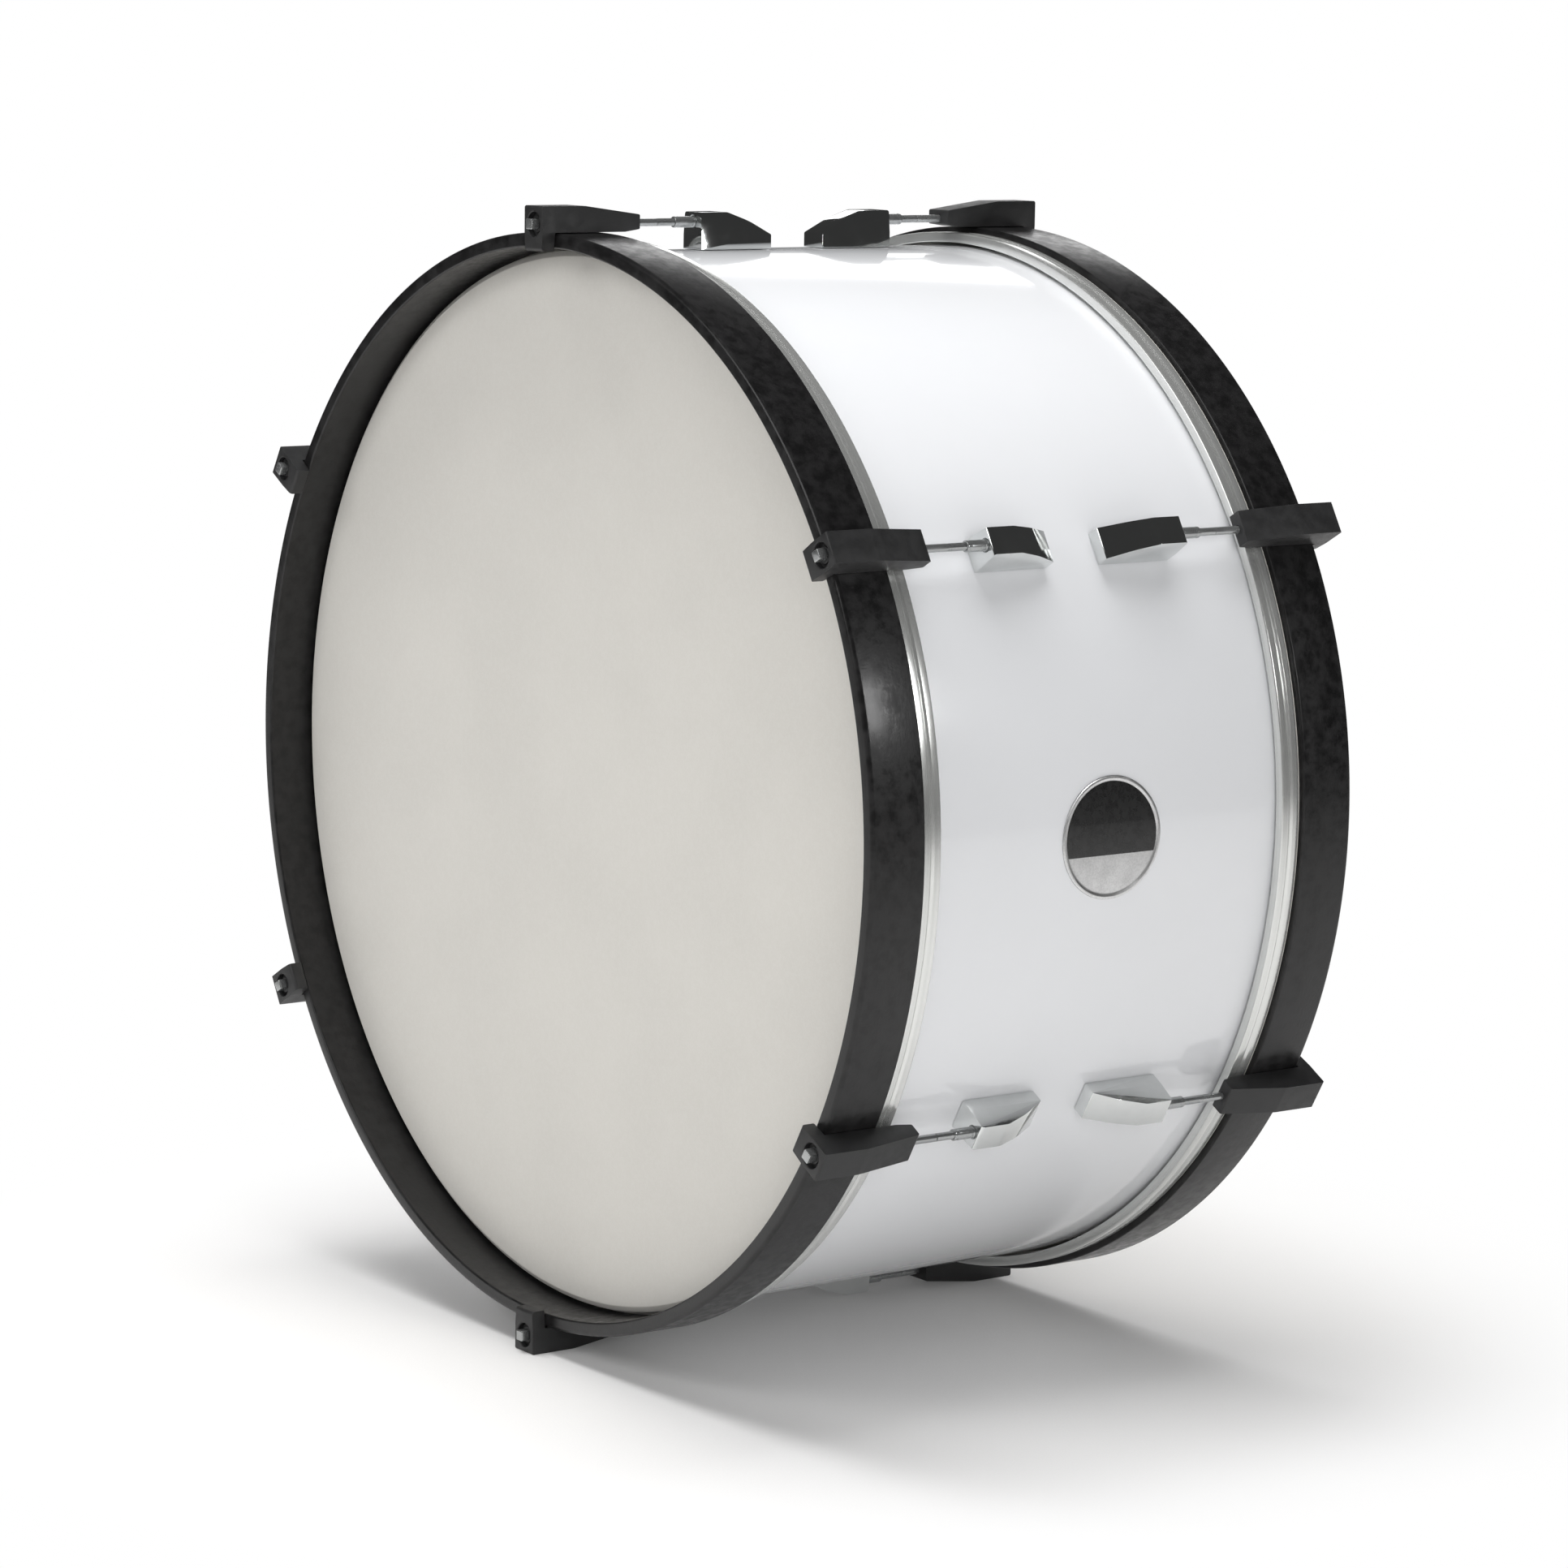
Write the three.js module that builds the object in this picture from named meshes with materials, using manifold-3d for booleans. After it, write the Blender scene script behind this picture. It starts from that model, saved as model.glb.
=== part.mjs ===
// Marching bass drum, in millimetres.
// The drum's axis is Y, with the front head towards -Y, and +Z is up. The drum stands on the flat
// backs of its two lowest claws, and the origin is on the floor below the middle of the drum.
// Each end of the drum is drawn once, on the +Y side, as radius from the axis against distance
// from the drum's middle. The front end is the same drawing turned half round about Z.

import * as THREE from "three";
import { mergeVertices } from "three/addons/utils/BufferGeometryUtils.js";
import Module from "manifold-3d";

// Clearances
const seatGap = 0.3;
const runningGap = 0.05;
const overrun = 2;

// Shell, a wooden tube with a crested bearing edge at each end
const shellRadius = 330.2;
const shellDepth = 304.8;
const shellWall = 7.5;
const crestInset = 3.4;
const crestOuterDrop = 2.6;
const crestInnerDrop = 4.2;

// Head, a film pulled over the bearing edge, with its rim lying on the flesh hoop
const filmThickness = 0.4;
const collarStandOff = 1;
const collarDepth = 9.9;
const rimOverhang = 0.7;

// Flesh hoop, a grooved aluminium ring that stretches the film
const fleshStandOff = 2;
const fleshThickness = 6.3;
const fleshWidth = 13.2;
const fleshGrooveDepth = 1.1;
const fleshGrooveWidth = 3.2;

// Counter hoop, the wooden ring that the claws pull against the flesh hoop
const hoopSetBack = 0.8;
const hoopThickness = 9;
const hoopWidth = 38;
const hoopOuterRound = 2;
const hoopInnerRound = 1.2;

// Stations, the places around the drum that have a claw, rod, lug and nut at each end
const stationCount = 6;
const rodLift = 5.5;

// Claw, a moulded hook over the counter hoop
const clawSeat = 0.4;
const clawWidth = 20;
const clawLegWidth = 18;
const clawLegReach = 2;
const clawLength = 71.5;
const clawFlatLength = 31;
const clawCrown = 11;
const clawNoseThickness = 9.2;
const clawTipCrown = 5.5;
const clawTipLift = 1.6;
const clawTipRise = 11;

// Tension rod, with a square key head on a round collar
const rodRadius = 2.45;
const rodHoleGap = 0.3;
const rodEngagement = 24;
const collarRadius = 5.2;
const collarThickness = 1.6;
const keyWidth = 6.4;
const keyProtrusion = 3.7;
const pocketRadius = 7.5;
const pocketDepth = 4;

// Lug nut, the threaded sleeve that stands out of the lug
const nutRadius = 3.5;
const nutLength = 28;
const nutProtrusion = 15;
const nutGap = 0.1;

// Lug, the chromed casting that anchors the rod to the shell
const lugWidth = 20;
const lugCrownWidth = 17;
const lugLength = 53;
const lugTailFromMiddle = 20;
const lugCrown = 6.2;
const lugFlatLength = 20;
const lugTailHeight = 9;
const lugBend = 1.4;
const lugEdge = 1.2;
const lugBoreReserve = 1;
const lugWall = 2.5;

// Badge, a thin round plate bent to the shell, at the right of the drum
const badgeRadius = 37;
const badgeThickness = 0.8;
const badgeFromMiddle = 3;

// How many straight sides stand for each round
const ringSides = 72;
const rodSides = 12;
const pocketSides = 16;
const badgeSides = 32;

// Radii of the rings
const crestRadius = shellRadius - crestInset;
const fleshInner = shellRadius + fleshStandOff;
const fleshOuter = fleshInner + fleshThickness;
const hoopInner = fleshInner + hoopSetBack;
const hoopOuter = hoopInner + hoopThickness;
const rodCircle = hoopOuter + rodLift;
const clawBack = rodCircle + clawCrown;

// Distances from the drum's middle along its axis
const shellEnd = shellDepth / 2;
const filmUnder = shellEnd + seatGap;
const filmTop = filmUnder + filmThickness;
const rimTop = filmTop - collarDepth;
const rimUnder = rimTop - filmThickness;
const fleshTop = rimUnder - seatGap;
const fleshBottom = fleshTop - fleshWidth;
const hoopBottom = rimTop + seatGap;
const hoopTop = hoopBottom + hoopWidth;
const clawNoseIn = hoopTop + seatGap;
const clawNoseOut = clawNoseIn + clawNoseThickness;
const pocketFloor = clawNoseOut - pocketDepth;
const lugEnd = lugTailFromMiddle + lugLength;
const nutOuterEnd = lugEnd + nutProtrusion;
const nutInnerEnd = nutOuterEnd - nutLength;
const rodInnerEnd = nutOuterEnd - rodEngagement;

const wasm = await Module();
wasm.setup();

// A closed three.js geometry as a solid that can be cut and joined.
function solidOf(geometry) {
  const bare = geometry.clone();
  bare.deleteAttribute("normal");
  bare.deleteAttribute("uv");
  const merged = mergeVertices(bare);
  return new wasm.Manifold(
    new wasm.Mesh({
      numProp: 3,
      vertProperties: merged.attributes.position.array,
      triVerts: new Uint32Array(merged.index.array),
    }),
  );
}

// A solid as a three.js geometry.
function geometryOf(solid) {
  const mesh = solid.getMesh();
  const geometry = new THREE.BufferGeometry();
  geometry.setAttribute("position", new THREE.BufferAttribute(mesh.vertProperties, 3));
  geometry.setIndex(new THREE.BufferAttribute(mesh.triVerts, 1));
  geometry.computeVertexNormals();
  return geometry;
}

function points(pairs) {
  return pairs.map(([x, y]) => new THREE.Vector2(x, y));
}

// A ring about the drum's axis, from a closed outline of radius against distance.
function ringGeometry(outline) {
  return new THREE.LatheGeometry(points([...outline, outline[0]]), ringSides);
}

// The radius at which a polygon's corners lie when its flats lie at flatRadius.
function cornerRadius(flatRadius, sides) {
  return flatRadius / Math.cos(Math.PI / sides);
}

// A round bar along the drum's axis at the rod circle of the top station.
function barGeometry(radius, from, to, sides) {
  const bar = new THREE.CylinderGeometry(radius, radius, to - from, sides);
  bar.translate(0, (from + to) / 2, rodCircle);
  return bar;
}

// A side outline of distance against radius, given a width across the top station.
function sideGeometry(outline, width) {
  const shape = new THREE.Shape(points(outline));
  const geometry = new THREE.ExtrudeGeometry(shape, { depth: width, bevelEnabled: false });
  geometry.translate(0, 0, -width / 2);
  const along = new THREE.Vector3(0, 1, 0);
  const out = new THREE.Vector3(0, 0, 1);
  const across = new THREE.Vector3(1, 0, 0);
  return geometry.applyMatrix4(new THREE.Matrix4().makeBasis(along, out, across));
}

// An end outline of width against radius, run along the drum's axis at the top station.
function endGeometry(outline, from, to) {
  const shape = new THREE.Shape(points(outline));
  const geometry = new THREE.ExtrudeGeometry(shape, { depth: to - from, bevelEnabled: false });
  geometry.rotateX(Math.PI / 2);
  return geometry.translate(0, to, 0);
}

function shellGeometry() {
  const inner = shellRadius - shellWall;
  return ringGeometry([
    [inner, crestInnerDrop - shellEnd],
    [crestRadius, -shellEnd],
    [shellRadius, crestOuterDrop - shellEnd],
    [shellRadius, shellEnd - crestOuterDrop],
    [crestRadius, shellEnd],
    [inner, shellEnd - crestInnerDrop],
  ]);
}

// The film runs flat to the crest, bends down outside the shell and turns out over the flesh hoop.
function headGeometry() {
  const collarInner = shellRadius + collarStandOff;
  const collarOuter = collarInner + filmThickness;
  const bendInner = shellRadius + filmThickness;
  const bendOuter = bendInner + filmThickness;
  const bend = shellEnd - crestOuterDrop + filmThickness / 2;
  const rimEdge = fleshOuter - rimOverhang;
  const outline = [
    [0, filmUnder],
    [crestRadius, filmUnder],
    [bendInner, bend],
    [collarInner, rimUnder],
    [rimEdge, rimUnder],
    [rimEdge, rimTop],
    [collarOuter, rimTop],
    [bendOuter, bend + seatGap],
    [crestRadius + seatGap, filmTop],
    [0, filmTop],
  ];
  return new THREE.LatheGeometry(points(outline), ringSides);
}

function fleshHoopGeometry() {
  const grooveMiddle = (fleshTop + fleshBottom) / 2;
  return ringGeometry([
    [fleshInner, fleshBottom],
    [fleshOuter, fleshBottom],
    [fleshOuter, grooveMiddle - fleshGrooveWidth / 2],
    [fleshOuter - fleshGrooveDepth, grooveMiddle],
    [fleshOuter, grooveMiddle + fleshGrooveWidth / 2],
    [fleshOuter, fleshTop],
    [fleshInner, fleshTop],
  ]);
}

function hoopGeometry() {
  return ringGeometry([
    [hoopInner, hoopBottom],
    [hoopOuter, hoopBottom],
    [hoopOuter, hoopTop - hoopOuterRound],
    [hoopOuter - hoopOuterRound, hoopTop],
    [hoopInner + hoopInnerRound, hoopTop],
    [hoopInner, hoopTop - hoopInnerRound],
  ]);
}

// The claw is the shape common to its side outline and its end outline, bored for the rod.
function clawGeometry() {
  const under = hoopOuter + clawSeat;
  const tip = clawNoseOut - clawLength;
  const legEnd = hoopInner - clawLegReach;
  const side = sideGeometry(
    [
      [clawNoseOut, legEnd],
      [clawNoseOut, clawBack],
      [clawNoseOut - clawFlatLength, clawBack],
      [tip, rodCircle + clawTipCrown],
      [tip, under + clawTipLift],
      [tip + clawTipRise, under],
      [clawNoseIn, under],
      [clawNoseIn, legEnd],
    ],
    clawWidth + overrun,
  );
  const end = endGeometry(
    [
      [clawLegWidth / 2, legEnd - overrun],
      [clawWidth / 2, under],
      [clawWidth / 2, clawBack + overrun],
      [-clawWidth / 2, clawBack + overrun],
      [-clawWidth / 2, under],
      [-clawLegWidth / 2, legEnd - overrun],
    ],
    tip - overrun,
    clawNoseOut + overrun,
  );
  const pocket = barGeometry(pocketRadius, pocketFloor, clawNoseOut + overrun, pocketSides);
  const holeRadius = cornerRadius(rodRadius + rodHoleGap, rodSides);
  const hole = barGeometry(holeRadius, tip - overrun, clawNoseOut, rodSides);
  const body = solidOf(side).intersect(solidOf(end));
  return geometryOf(body.subtract(solidOf(pocket)).subtract(solidOf(hole)));
}

function rodGeometry() {
  const collarFrom = pocketFloor + seatGap;
  const collarTo = collarFrom + collarThickness;
  const keyTo = clawNoseOut + keyProtrusion;
  const key = new THREE.BoxGeometry(keyWidth, keyTo - collarFrom, keyWidth);
  key.translate(0, (collarFrom + keyTo) / 2, rodCircle);
  const shank = barGeometry(rodRadius, rodInnerEnd, collarTo, rodSides);
  const collar = barGeometry(collarRadius, collarFrom, collarTo, rodSides);
  return geometryOf(solidOf(shank).add(solidOf(collar)).add(solidOf(key)));
}

function nutGeometry() {
  const boreRadius = cornerRadius(rodRadius + runningGap, rodSides);
  const body = barGeometry(nutRadius, nutInnerEnd, nutOuterEnd, rodSides);
  const bore = barGeometry(boreRadius, nutInnerEnd - overrun, nutOuterEnd + overrun, rodSides);
  return geometryOf(solidOf(body).subtract(solidOf(bore)));
}

// The lug has a flat crown near the rod and falls away towards the drum's middle. It is hollow
// under the nut, and its rim sits on the shell.
function lugGeometry() {
  const base = shellRadius + seatGap;
  const crown = rodCircle + lugCrown;
  const tail = lugTailFromMiddle;
  const bendAt = (lugEnd - lugFlatLength + tail) / 2;
  const bendRadius = (crown + base + lugTailHeight) / 2 + lugBend;
  const side = sideGeometry(
    [
      [lugEnd, base],
      [lugEnd, crown - lugEdge],
      [lugEnd - lugEdge, crown],
      [lugEnd - lugFlatLength, crown],
      [bendAt, bendRadius],
      [tail, base + lugTailHeight],
      [tail, base],
    ],
    lugWidth + overrun,
  );
  const end = endGeometry(
    [
      [lugWidth / 2, base - overrun],
      [lugWidth / 2, base + lugTailHeight],
      [lugCrownWidth / 2, crown + overrun],
      [-lugCrownWidth / 2, crown + overrun],
      [-lugWidth / 2, base + lugTailHeight],
      [-lugWidth / 2, base - overrun],
    ],
    tail - overrun,
    lugEnd + overrun,
  );
  const boreRadius = cornerRadius(nutRadius + nutGap, rodSides);
  const boreFrom = nutInnerEnd - lugBoreReserve;
  const bore = barGeometry(boreRadius, boreFrom, lugEnd + overrun, rodSides);
  const roof = rodCircle - boreRadius - lugWall;
  const hollow = sideGeometry(
    [
      [lugEnd - lugWall, base - overrun],
      [lugEnd - lugWall, roof],
      [bendAt, roof],
      [tail + lugWall, base + lugTailHeight - lugWall],
      [tail + lugWall, base - overrun],
    ],
    lugWidth - 2 * lugWall,
  );
  const body = solidOf(side).intersect(solidOf(end));
  return geometryOf(body.subtract(solidOf(bore)).subtract(solidOf(hollow)));
}

// The badge is the part of a thin ring about the shell that lies inside a round bar along X.
function badgeGeometry() {
  const inner = shellRadius + seatGap;
  const outer = inner + badgeThickness;
  const band = ringGeometry([
    [inner, badgeFromMiddle - badgeRadius - overrun],
    [outer, badgeFromMiddle - badgeRadius - overrun],
    [outer, badgeFromMiddle + badgeRadius + overrun],
    [inner, badgeFromMiddle + badgeRadius + overrun],
  ]);
  const disc = new THREE.CylinderGeometry(badgeRadius, badgeRadius, shellRadius, badgeSides);
  disc.rotateZ(Math.PI / 2);
  disc.translate(shellRadius, badgeFromMiddle, 0);
  return geometryOf(solidOf(band).intersect(solidOf(disc)));
}

const finishes = {
  whiteShell: { color: 0xeeeff1, roughness: 0.28, metalness: 0 },
  blackHoop: { color: 0x1c1c1b, roughness: 0.42, metalness: 0 },
  polishedAlloy: { color: 0xb4b7b3, roughness: 0.26, metalness: 1 },
  coatedFilm: { color: 0xd2cfc9, roughness: 0.55, metalness: 0 },
  blackPlastic: { color: 0x2e2e2d, roughness: 0.6, metalness: 0 },
  chrome: { color: 0xd5d7d9, roughness: 0.08, metalness: 1 },
  badgePlate: { color: 0x232323, roughness: 0.35, metalness: 0.3 },
};

function pieceOf(name, geometry, finish) {
  const mesh = new THREE.Mesh(geometry, new THREE.MeshStandardMaterial(finishes[finish]));
  mesh.name = name;
  return mesh;
}

// The drum, with its axis raised so that the lowest claws' backs lie on the floor.
const group = new THREE.Group();
group.name = "marching_bass_drum";
const drum = new THREE.Group();
drum.position.z = clawBack;
group.add(drum);

drum.add(pieceOf("shell", shellGeometry(), "whiteShell"));
drum.add(pieceOf("badge", badgeGeometry(), "badgePlate"));

const ringPieces = [
  ["hoop", hoopGeometry(), "blackHoop"],
  ["flesh_hoop", fleshHoopGeometry(), "polishedAlloy"],
  ["head", headGeometry(), "coatedFilm"],
];
const stationPieces = [
  ["claw", clawGeometry(), "blackPlastic"],
  ["tension_rod", rodGeometry(), "chrome"],
  ["lug", lugGeometry(), "chrome"],
  ["lug_nut", nutGeometry(), "chrome"],
];

// Stations count clockwise from the top as seen from the front, at both ends.
const ends = [
  { name: "front", halfTurn: Math.PI, direction: -1 },
  { name: "rear", halfTurn: 0, direction: 1 },
];
for (const end of ends) {
  const half = new THREE.Group();
  half.rotation.z = end.halfTurn;
  drum.add(half);
  for (const [kind, geometry, finish] of ringPieces) {
    half.add(pieceOf(end.name + "_" + kind, geometry, finish));
  }
  for (let place = 0; place < stationCount; place += 1) {
    const station = new THREE.Group();
    station.rotation.y = (end.direction * place * 2 * Math.PI) / stationCount;
    half.add(station);
    for (const [kind, geometry, finish] of stationPieces) {
      station.add(pieceOf(end.name + "_" + kind + "_" + (place + 1), geometry, finish));
    }
  }
}

export default group;
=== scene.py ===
"""The looks of a marching bass drum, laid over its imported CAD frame.

Lengths in the drawings below are in millimetres and become metres when a mesh is made. The drum's
axis is Y, its front head faces -Y, and it stands on its two lowest claws with +Z up. Each piece is
drawn once for the rear end, at the top of the drum, as radius from the axis against distance from
the drum's middle, and is then turned to its place.
"""

import math

import bmesh
import bpy
from mathutils import Matrix, Vector


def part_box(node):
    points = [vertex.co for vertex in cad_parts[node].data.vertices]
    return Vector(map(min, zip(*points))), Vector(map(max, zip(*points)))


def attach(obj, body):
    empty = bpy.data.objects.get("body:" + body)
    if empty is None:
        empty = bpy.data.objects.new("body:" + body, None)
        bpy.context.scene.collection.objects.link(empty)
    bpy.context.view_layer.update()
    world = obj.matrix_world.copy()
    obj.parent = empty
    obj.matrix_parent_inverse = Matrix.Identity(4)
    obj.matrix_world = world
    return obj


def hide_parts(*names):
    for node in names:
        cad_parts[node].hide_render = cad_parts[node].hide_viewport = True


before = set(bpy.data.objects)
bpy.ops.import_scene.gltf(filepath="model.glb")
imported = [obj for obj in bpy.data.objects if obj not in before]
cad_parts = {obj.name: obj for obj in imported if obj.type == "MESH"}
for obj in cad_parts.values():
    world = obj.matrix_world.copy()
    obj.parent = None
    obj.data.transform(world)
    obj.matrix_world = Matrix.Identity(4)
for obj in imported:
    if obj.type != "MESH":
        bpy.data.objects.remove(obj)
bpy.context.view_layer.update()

MILLIMETRE = 0.001
X, Y, Z = 0, 1, 2


# Sizes that the frame gives


def reach(node, axis):
    """Lowest and highest coordinate of a node along one axis, in millimetres."""
    low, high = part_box(node)
    return low[axis] / MILLIMETRE, high[axis] / MILLIMETRE


AXIS_HEIGHT = sum(reach("shell", Z)) / 2
SHELL_RADIUS = reach("shell", X)[1]
SHELL_END = reach("shell", Y)[1]
RIM_BOTTOM, FILM_TOP = reach("rear_head", Y)
RIM_RADIUS = reach("rear_head", X)[1]
FLESH_RADIUS = reach("rear_flesh_hoop", X)[1]
FLESH_LOW, FLESH_HIGH = reach("rear_flesh_hoop", Y)
HOOP_RADIUS = reach("rear_hoop", X)[1]
HOOP_LOW, HOOP_HIGH = reach("rear_hoop", Y)
CLAW_TIP, CLAW_NOSE = reach("rear_claw_1", Y)
CLAW_HALF_WIDTH = reach("rear_claw_1", X)[1]
CLAW_LEG_END, CLAW_BACK = (z - AXIS_HEIGHT for z in reach("rear_claw_1", Z))
ROD_CIRCLE = sum(reach("rear_tension_rod_1", Z)) / 2 - AXIS_HEIGHT
ROD_END, KEY_END = reach("rear_tension_rod_1", Y)
NUT_LOW, NUT_HIGH = reach("rear_lug_nut_1", Y)
NUT_RADIUS = reach("rear_lug_nut_1", X)[1]
LUG_TAIL, LUG_END = reach("rear_lug_1", Y)
LUG_HALF_WIDTH = reach("rear_lug_1", X)[1]
LUG_BASE, LUG_CROWN = (z - AXIS_HEIGHT for z in reach("rear_lug_1", Z))
BADGE_FACE = reach("badge", X)[1]
BADGE_LOW, BADGE_HIGH = reach("badge", Y)

# Sizes that more than one piece uses

STATIONS = 6
SHELL_WALL = 7.5
CREST_INSET = 3.4
ROD_RADIUS = 2.45
POCKET_DEPTH = 4
SEAT_GAP = 0.3

RING_SIDES = 288
BAR_SIDES = 40
OVERRUN = 2
MERGE_DISTANCE = 0.0001


# Meshes


def rounded(corners, steps=5):
    """A closed outline whose corners (x, y, radius) are turned into arcs."""
    outline = []
    count = len(corners)
    for i, (x, y, radius) in enumerate(corners):
        corner = Vector((x, y))
        if radius <= 0:
            outline.append((x, y))
            continue
        before = (Vector(corners[i - 1][:2]) - corner).normalized()
        after = (Vector(corners[(i + 1) % count][:2]) - corner).normalized()
        opening = before.angle(after)
        middle = corner + (before + after).normalized() * radius / math.sin(opening / 2)
        leg = radius / math.tan(opening / 2)
        start = corner + before * leg - middle
        turn = start.angle_signed(corner + after * leg - middle)
        for step in range(steps + 1):
            angle = -turn * step / steps
            spoke = Matrix.Rotation(angle, 2) @ start
            outline.append(tuple(middle + spoke))
    return outline


def mesh_of(name, points, faces):
    """A closed mesh with outward normals, from points in millimetres about the drum's axis."""
    mesh = bpy.data.meshes.new(name)
    mesh.from_pydata([Vector(point) * MILLIMETRE for point in points], [], faces)
    tidy = bmesh.new()
    tidy.from_mesh(mesh)
    bmesh.ops.remove_doubles(tidy, verts=tidy.verts, dist=MERGE_DISTANCE * MILLIMETRE)
    loose = [edge for edge in tidy.edges if not edge.link_faces]
    bmesh.ops.delete(tidy, geom=loose, context="EDGES")
    bmesh.ops.holes_fill(tidy, edges=tidy.edges, sides=0)
    bmesh.ops.recalc_face_normals(tidy, faces=tidy.faces)
    tidy.to_mesh(mesh)
    tidy.free()
    return mesh


def lathe(name, outline, sides, place, capped=False):
    """An outline of (radius, distance) turned about an axis; place gives x, y, z.

    The outline is closed, or, when capped, open with a flat face over each of its two ends.
    """
    points = []
    faces = []
    count = len(outline)
    for side in range(sides):
        angle = 2 * math.pi * side / sides
        points += [place(radius, distance, angle) for radius, distance in outline]
        for i in range(count - 1 if capped else count):
            a, b = side * count + i, side * count + (i + 1) % count
            c, d = (b + count) % (sides * count), (a + count) % (sides * count)
            faces.append((a, b, c, d))
    if capped:
        faces.append(tuple(side * count for side in range(sides)))
        faces.append(tuple(side * count + count - 1 for side in range(sides)))
    return mesh_of(name, points, faces)


def ring(name, outline, capped=False):
    """A turned part about the drum's axis."""

    def place(radius, distance, angle):
        return radius * math.sin(angle), distance, radius * math.cos(angle)

    return lathe(name, outline, RING_SIDES, place, capped)


def bar(name, outline):
    """A turned part about the axis of the top station's rod."""

    def place(radius, distance, angle):
        return radius * math.sin(angle), distance, ROD_CIRCLE + radius * math.cos(angle)

    return lathe(name, outline, BAR_SIDES, place)


def prism(name, outline, place, low, high):
    """A flat outline made thick from low to high."""
    count = len(outline)
    points = [place(u, v, low) for u, v in outline] + [place(u, v, high) for u, v in outline]
    faces = [tuple(range(count)), tuple(range(count, 2 * count))]
    faces += [(i, (i + 1) % count, (i + 1) % count + count, i + count) for i in range(count)]
    return mesh_of(name, points, faces)


def side_prism(name, outline, half_width):
    """An outline of (distance, radius), thick across the top station."""
    return prism(name, outline, lambda u, v, w: (w, u, v), -half_width, half_width)


def end_prism(name, outline, low, high):
    """An outline of (width, radius), thick along the drum's axis."""
    return prism(name, outline, lambda u, v, w: (u, w, v), low, high)


def with_modifier(mesh, kind, **settings):
    """The mesh with one modifier applied."""
    carrier = bpy.data.objects.new("carrier", mesh)
    bpy.context.collection.objects.link(carrier)
    modifier = carrier.modifiers.new(kind, kind)
    for name, value in settings.items():
        setattr(modifier, name, value)
    graph = bpy.context.evaluated_depsgraph_get()
    result = bpy.data.meshes.new_from_object(carrier.evaluated_get(graph))
    result.name = mesh.name
    bpy.data.objects.remove(carrier)
    return result


def combined(mesh, other, operation):
    """Two closed meshes cut or crossed."""
    tool = bpy.data.objects.new("tool", other)
    bpy.context.collection.objects.link(tool)
    result = with_modifier(mesh, "BOOLEAN", object=tool, operation=operation, solver="EXACT")
    bpy.data.objects.remove(tool)
    return result


def eased(mesh, width, angle=30):
    """The mesh with its edges sharper than angle rounded."""
    return with_modifier(
        mesh,
        "BEVEL",
        width=width * MILLIMETRE,
        segments=3,
        limit_method="ANGLE",
        angle_limit=math.radians(angle),
        use_clamp_overlap=True,
    )


def smoothed(mesh, angle=32):
    """Smooth shading with the edges sharper than angle kept."""
    mesh.shade_smooth()
    mesh.set_sharp_from_angle(angle=math.radians(angle))
    return mesh


def gathered(name, parts):
    """Several meshes as one."""
    whole = bmesh.new()
    for part in parts:
        whole.from_mesh(part)
    mesh = bpy.data.meshes.new(name)
    whole.to_mesh(mesh)
    whole.free()
    return mesh


# Placing

# Each end of the drum: its turn about Z, and the way in which its stations are counted
ENDS = {"front": (math.pi, -1), "rear": (0, 1)}


def end_turn(end):
    """From the place where a ring is drawn to one end of the drum."""
    half_turn, _ = ENDS[end]
    return Matrix.Translation((0, 0, AXIS_HEIGHT * MILLIMETRE)) @ Matrix.Rotation(half_turn, 4, "Z")


def station_turn(end, number):
    """From the place where a fitting is drawn to one station; number 1 is at the top."""
    _, direction = ENDS[end]
    angle = direction * (number - 1) * 2 * math.pi / STATIONS
    return end_turn(end) @ Matrix.Rotation(angle, 4, "Y")


def piece(name, mesh, placing, materials, body, slot, nodes=()):
    """A copy of the mesh as a piece of the drum, in its place, riding on its body."""
    own = mesh.copy()
    own.name = name
    own.transform(placing)
    for material in materials:
        own.materials.append(material)
    made = bpy.data.objects.new(name, own)
    bpy.context.collection.objects.link(made)
    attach(made, body)
    if nodes:
        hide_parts(*nodes)


# Shader groups


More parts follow.
